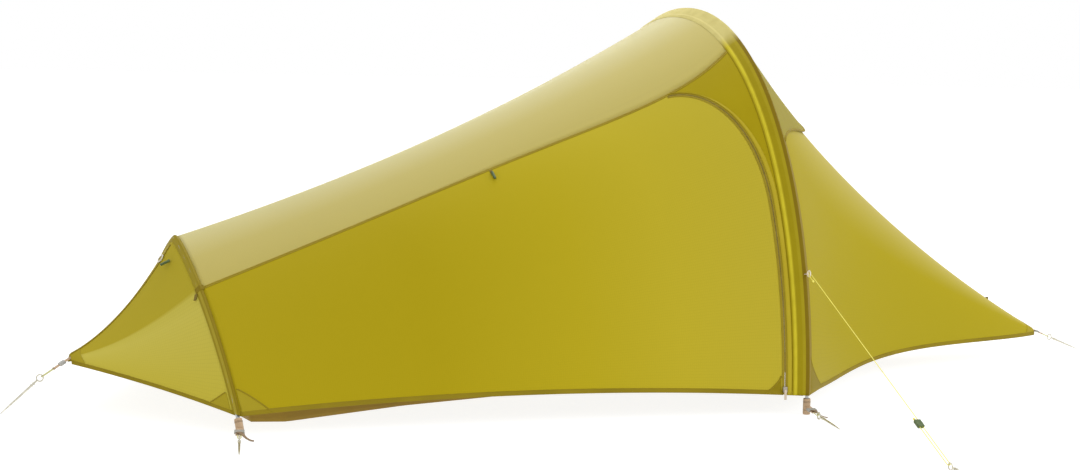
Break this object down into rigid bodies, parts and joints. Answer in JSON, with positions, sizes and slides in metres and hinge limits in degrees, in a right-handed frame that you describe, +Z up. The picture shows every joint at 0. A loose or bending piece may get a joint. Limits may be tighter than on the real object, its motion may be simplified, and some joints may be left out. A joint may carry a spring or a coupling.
{
  "type": "backpacking tent",
  "caption": "Low tunnel tent with a tall hoop in front and a small hoop at the foot, pegged points at its ends, a zipped side door, a vent hood, an inner tent and a guyline.",
  "frame": {"origin": "on the ground under the middle of the main hoop, on the groundsheet's underside", "axes": "+X runs from the foot hoop to the front point, +Z is up, and -Y is the side with the door"},
  "size_m": [3.4614, 2.3388, 1.0491],
  "materials": {
    "wall_cloth": "olive yellow ripstop",
    "zip_tape": "woven tape with coil",
    "roof_cloth": "pale yellow ripstop",
    "mesh_cloth": "dark fine mesh",
    "hardware_plastic": "moulded grey",
    "pole_alloy": "anodised tube",
    "shock_cord": "braided elastic cord",
    "sleeve_cloth": "olive yellow ripstop, doubled",
    "webbing": "brown woven webbing",
    "peg_alloy": "bare, lightly brushed",
    "guy_cord": "pale yellow braided cord",
    "toggle_plastic": "moulded dark green",
    "inner_cloth": "pale breathable fabric",
    "ground_cloth": "coated ochre fabric"
  },
  "bodies": {
    "tent": {"near_wall": "wall_cloth", "door_surround": "wall_cloth", "zip_track": "zip_tape", "roof_panel": "roof_cloth", "far_wall": "wall_cloth", "front_apse_near": "wall_cloth", "front_apse_far": "wall_cloth", "rear_apse_near": "wall_cloth", "rear_apse_far": "wall_cloth", "vent_hood": "roof_cloth", "vent_mesh": "mesh_cloth", "main_pole_1": "pole_alloy", "main_pole_2": "pole_alloy", "main_pole_3": "pole_alloy", "main_pole_4": "pole_alloy", "main_pole_5": "pole_alloy", "main_pole_6": "pole_alloy", "main_shock_cord": "shock_cord", "main_pole_sleeve": "sleeve_cloth", "foot_pole_1": "pole_alloy", "foot_pole_2": "pole_alloy", "foot_pole_3": "pole_alloy", "foot_shock_cord": "shock_cord", "foot_pole_sleeve": "sleeve_cloth", "near_front_corner_webbing": "webbing", "far_front_corner_webbing": "webbing", "near_rear_corner_webbing": "webbing", "far_rear_corner_webbing": "webbing", "front_point_webbing": "webbing", "rear_point_webbing": "webbing", "guyline_ring": "hardware_plastic", "guyline": "guy_cord", "door_tie_loop": "webbing", "inner_canopy": "inner_cloth", "groundsheet": "ground_cloth", "inner_door_roll": "mesh_cloth"},
    "door": {"door_panel": "wall_cloth"},
    "vent_prop": {"vent_prop": "hardware_plastic"},
    "zip_slider": {"zip_slider": "hardware_plastic"},
    "zip_pull": {"zip_pull": "webbing"},
    "door_toggle": {"door_toggle": "toggle_plastic"},
    "foot_ring": {"foot_ring": "hardware_plastic"},
    "foot_toggle": {"foot_toggle": "toggle_plastic"},
    "near_front_corner_adjuster": {"near_front_corner_adjuster": "hardware_plastic"},
    "near_front_corner_peg": {"near_front_corner_peg": "peg_alloy"},
    "far_front_corner_adjuster": {"far_front_corner_adjuster": "hardware_plastic"},
    "far_front_corner_peg": {"far_front_corner_peg": "peg_alloy"},
    "near_rear_corner_adjuster": {"near_rear_corner_adjuster": "hardware_plastic"},
    "near_rear_corner_peg": {"near_rear_corner_peg": "peg_alloy"},
    "far_rear_corner_adjuster": {"far_rear_corner_adjuster": "hardware_plastic"},
    "far_rear_corner_peg": {"far_rear_corner_peg": "peg_alloy"},
    "front_point_adjuster": {"front_point_adjuster": "hardware_plastic"},
    "front_point_peg": {"front_point_peg": "peg_alloy"},
    "rear_point_adjuster": {"rear_point_adjuster": "hardware_plastic"},
    "rear_point_peg": {"rear_point_peg": "peg_alloy"},
    "guyline_tensioner": {"guyline_tensioner": "toggle_plastic"},
    "guyline_peg": {"guyline_peg": "peg_alloy"}
  },
  "joints": [
    {"name": "door_hinge", "type": "hinge", "parent": "tent", "child": "door", "pos_m": [-0.8084, -0.55779, 0.09575], "axis": [-0.2095, -0.4389, -0.8738], "range_deg": [0, 130]},
    {"name": "vent_prop_hinge", "type": "hinge", "parent": "tent", "child": "vent_prop", "pos_m": [0.34074, 0, 0.73976], "axis": [0, -1, 0], "range_deg": [0, 70]},
    {"name": "zip_slide", "type": "hinge", "parent": "tent", "child": "zip_slider", "pos_m": [-0.06213, 0.97058, 0.00969], "axis": [-1, 0, 0], "range_deg": [0, 9.93]},
    {"name": "zip_pull_hinge", "type": "hinge", "parent": "zip_slider", "child": "zip_pull", "pos_m": [-0.06372, -0.65019, 0.06701], "axis": [-0.9727, 0.2321, -0.0082], "range_deg": [0, 95]},
    {"name": "door_toggle_hinge", "type": "hinge", "parent": "tent", "child": "door_toggle", "pos_m": [-0.72188, -0.2388, 0.60523], "axis": [-0.9361, 0.2152, -0.2784], "range_deg": [0, 50]},
    {"name": "foot_ring_hinge", "type": "hinge", "parent": "tent", "child": "foot_ring", "pos_m": [-1.52074, 0, 0.38246], "axis": [0, 1, 0], "range_deg": [0, 90]},
    {"name": "foot_toggle_hinge", "type": "hinge", "parent": "tent", "child": "foot_toggle", "pos_m": [-1.51567, -0.04452, 0.37371], "axis": [0, 1, 0], "range_deg": [0, 60]},
    {"name": "near_front_corner_adjust", "type": "slide", "parent": "tent", "child": "near_front_corner_adjuster", "axis": [-0.1977, -0.9688, -0.1495], "range_m": [-0.008, 0.008]},
    {"name": "near_front_corner_peg_hinge", "type": "hinge", "parent": "tent", "child": "near_front_corner_peg", "pos_m": [-0.0156, -0.73304, 0.0105], "axis": [0.9798, -0.2, 0], "range_deg": [-50, 75]},
    {"name": "far_front_corner_adjust", "type": "slide", "parent": "tent", "child": "far_front_corner_adjuster", "axis": [-0.1977, 0.9688, -0.1495], "range_m": [-0.008, 0.008]},
    {"name": "far_front_corner_peg_hinge", "type": "hinge", "parent": "tent", "child": "far_front_corner_peg", "pos_m": [-0.0156, 0.73304, 0.0105], "axis": [-0.9798, -0.2, 0], "range_deg": [-50, 75]},
    {"name": "near_rear_corner_adjust", "type": "slide", "parent": "tent", "child": "near_rear_corner_adjuster", "axis": [-0.3262, -0.9293, -0.1734], "range_m": [-0.008, 0.008]},
    {"name": "near_rear_corner_peg_hinge", "type": "hinge", "parent": "tent", "child": "near_rear_corner_peg", "pos_m": [-1.49412, -0.51862, 0.0105], "axis": [0.9435, -0.3312, 0], "range_deg": [-50, 75]},
    {"name": "far_rear_corner_adjust", "type": "slide", "parent": "tent", "child": "far_rear_corner_adjuster", "axis": [-0.3262, 0.9293, -0.1734], "range_m": [-0.008, 0.008]},
    {"name": "far_rear_corner_peg_hinge", "type": "hinge", "parent": "tent", "child": "far_rear_corner_peg", "pos_m": [-1.49412, 0.51862, 0.0105], "axis": [-0.9435, -0.3312, 0], "range_deg": [-50, 75]},
    {"name": "front_point_adjust", "type": "slide", "parent": "tent", "child": "front_point_adjuster", "axis": [0.9391, 0, -0.3436], "range_m": [-0.013, 0.013]},
    {"name": "front_point_peg_hinge", "type": "hinge", "parent": "tent", "child": "front_point_peg", "pos_m": [1.414, 0, 0.04631], "axis": [0, 1, 0], "range_deg": [-50, 75]},
    {"name": "rear_point_adjust", "type": "slide", "parent": "tent", "child": "rear_point_adjuster", "axis": [-0.8493, 0, -0.5279], "range_m": [-0.013, 0.013]},
    {"name": "rear_point_peg_hinge", "type": "hinge", "parent": "tent", "child": "rear_point_peg", "pos_m": [-1.827, 0, 0.08658], "axis": [0, -1, 0], "range_deg": [-50, 75]},
    {"name": "tensioner_slide", "type": "slide", "parent": "tent", "child": "guyline_tensioner", "axis": [0.1191, 0.887, 0.4461], "range_m": [0, 0.15]},
    {"name": "guyline_peg_hinge", "type": "hinge", "parent": "tent", "child": "guyline_peg", "pos_m": [-0.095, -1.35, 0.0105], "axis": [0.9911, -0.1331, 0], "range_deg": [-45, 75]}
  ]
}
